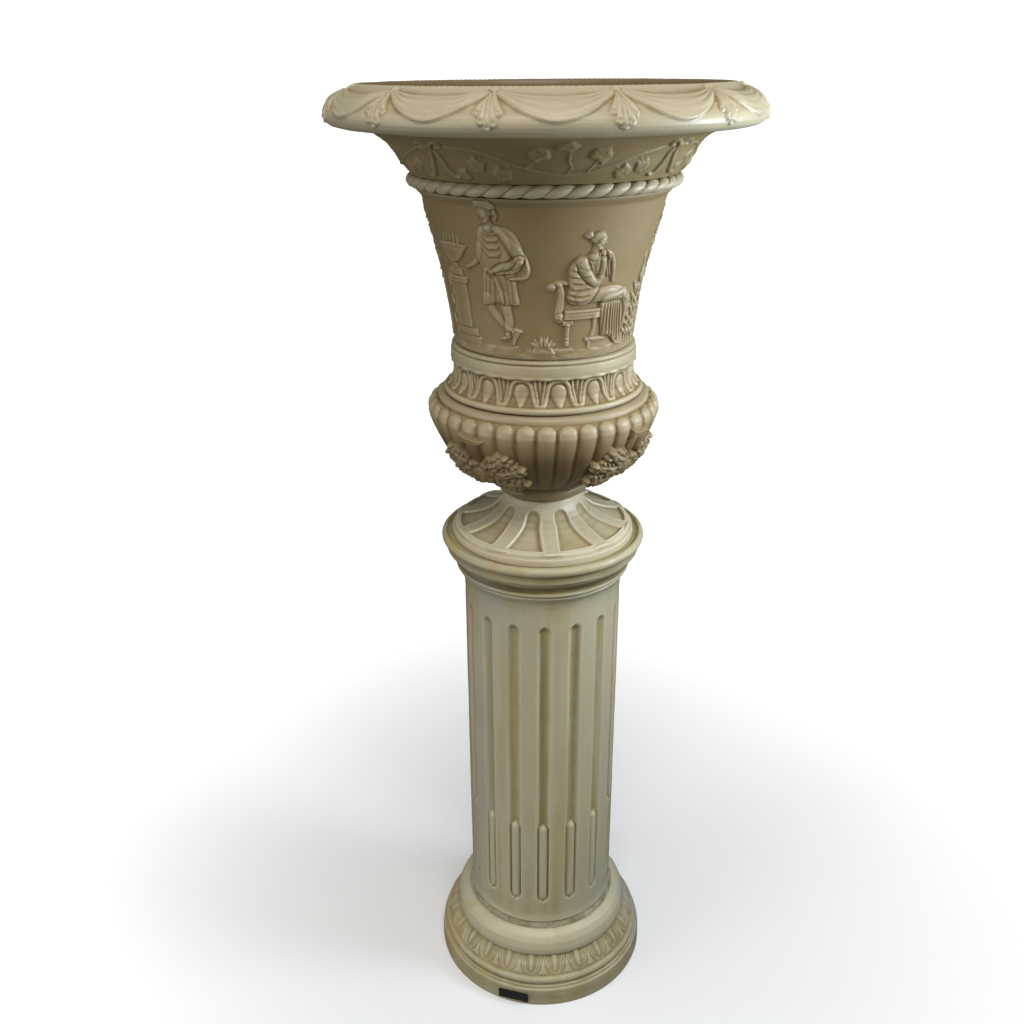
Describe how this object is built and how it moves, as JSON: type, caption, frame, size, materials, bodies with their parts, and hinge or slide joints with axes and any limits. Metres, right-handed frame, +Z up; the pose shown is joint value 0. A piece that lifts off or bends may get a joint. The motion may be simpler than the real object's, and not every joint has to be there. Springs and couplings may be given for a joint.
{
  "type": "relief urn on column pedestal",
  "caption": "Wide-lipped relief urn with gadrooned bowl and figure frieze, standing loose on a fluted column pedestal; lifts off and turns on a centring puck.",
  "frame": {"origin": "on the floor, on the common axis of column and urn", "axes": "+Z up along the axis; -Y is the front, with the small blank label just left of centre at the foot of the column"},
  "size_m": [0.5996, 0.5996, 1.514],
  "materials": {
    "column_marble": "cream cast marble with olive-brown antiquing rubbed into the flutes and mouldings, low sheen",
    "urn_marble": "cream cast marble with ochre-brown patina in the relief, low sheen",
    "foot_marble": "paler cream cast marble, lightly antiqued",
    "bedding_mortar": "rough mortar, matt",
    "black_rubber": "matt",
    "brass_fittings": "dull",
    "plywood": "raw exterior plywood",
    "zinc_steel": "zinc plated",
    "black_label": "blank, semi-gloss"
  },
  "bodies": {
    "pedestal": {"plinth_base": "column_marble", "base_board": "plywood", "base_screw_1": "zinc_steel", "base_screw_2": "zinc_steel", "base_screw_3": "zinc_steel", "base_screw_4": "zinc_steel", "shaft_bedding_joint": "bedding_mortar", "column_shaft": "column_marble", "capital_bedding_joint": "bedding_mortar", "column_capital": "column_marble", "blank_label": "black_label"},
    "puck": {"centring_puck": "black_rubber"},
    "urn": {"urn_foot": "foot_marble", "neck_gasket": "black_rubber", "neck_knop": "urn_marble", "urn_bowl": "urn_marble", "collar_bedding_ring": "bedding_mortar", "leaf_collar": "urn_marble", "body_bedding_ring": "bedding_mortar", "urn_body": "urn_marble", "rope_moulding": "urn_marble", "rim_bedding_ring": "bedding_mortar", "urn_rim": "urn_marble", "tie_rod": "brass_fittings", "rod_washer_lower": "black_rubber", "rod_nut_lower": "brass_fittings", "rod_washer_upper": "black_rubber", "rod_nut_upper": "brass_fittings", "bowl_mask_1": "urn_marble", "bowl_mask_2": "urn_marble", "bowl_mask_3": "urn_marble", "bowl_mask_4": "urn_marble"}
  },
  "joints": [
    {"name": "urn_turn", "type": "hinge", "parent": "pedestal", "child": "puck", "pos_m": [0, 0, 0.849], "axis": [0, 0, 1], "continuous": true},
    {"name": "urn_lift", "type": "slide", "parent": "puck", "child": "urn", "axis": [0, 0, 1], "range_m": [0, 0.2]}
  ]
}
